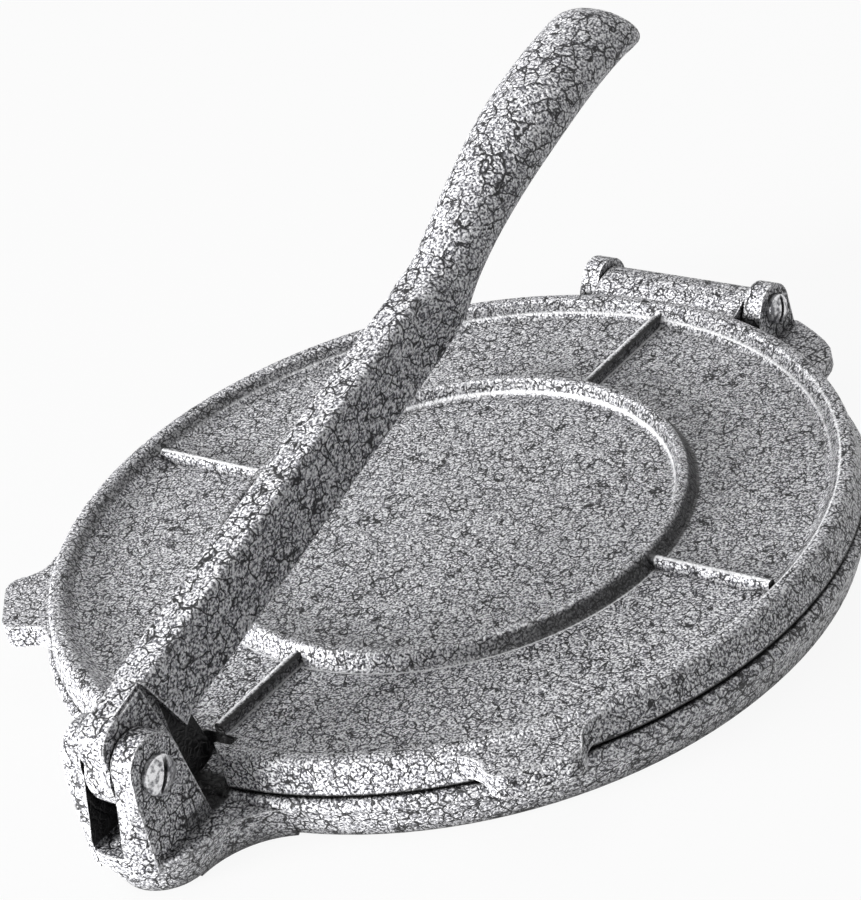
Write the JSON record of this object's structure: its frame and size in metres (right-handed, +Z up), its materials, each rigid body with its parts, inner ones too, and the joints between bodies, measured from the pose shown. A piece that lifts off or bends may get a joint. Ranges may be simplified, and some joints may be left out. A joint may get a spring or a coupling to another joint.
{
  "type": "tortilla press",
  "caption": "Cast lever press with a round lower plate, a hinged upper plate with rim, ring and ribs, and a long lever that turns in a front clevis.",
  "frame": {"origin": "centre of the hub's foot under the lower plate, on the plates' common axis, at table height", "axes": "+Y from the lever clevis in front to the plate hinge behind, +Z up, +X completes the right-hand frame and is the side of the bolts' slotted heads"},
  "size_m": [0.203, 0.2427, 0.1091],
  "materials": {
    "casting": "hammered silver paint on cast iron",
    "fastener": "zinc plated"
  },
  "bodies": {
    "base": {"base_plate": "casting", "lever_bolt": "fastener", "hinge_bolt": "fastener"},
    "lid": {"top_plate": "casting"},
    "lever": {"lever": "casting"}
  },
  "joints": [
    {"name": "lever_hinge", "type": "hinge", "parent": "base", "child": "lever", "pos_m": [0, -0.118, 0.0312], "axis": [1, 0, 0], "range_deg": [0, 165]},
    {"name": "plate_hinge", "type": "hinge", "parent": "base", "child": "lid", "pos_m": [0, 0.1058, 0.0193], "axis": [-1, 0, 0], "range_deg": [0, 53]}
  ],
  "couplings": [
    {"joint": "plate_hinge", "follows": "lever_hinge", "ratio": 0.32}
  ]
}
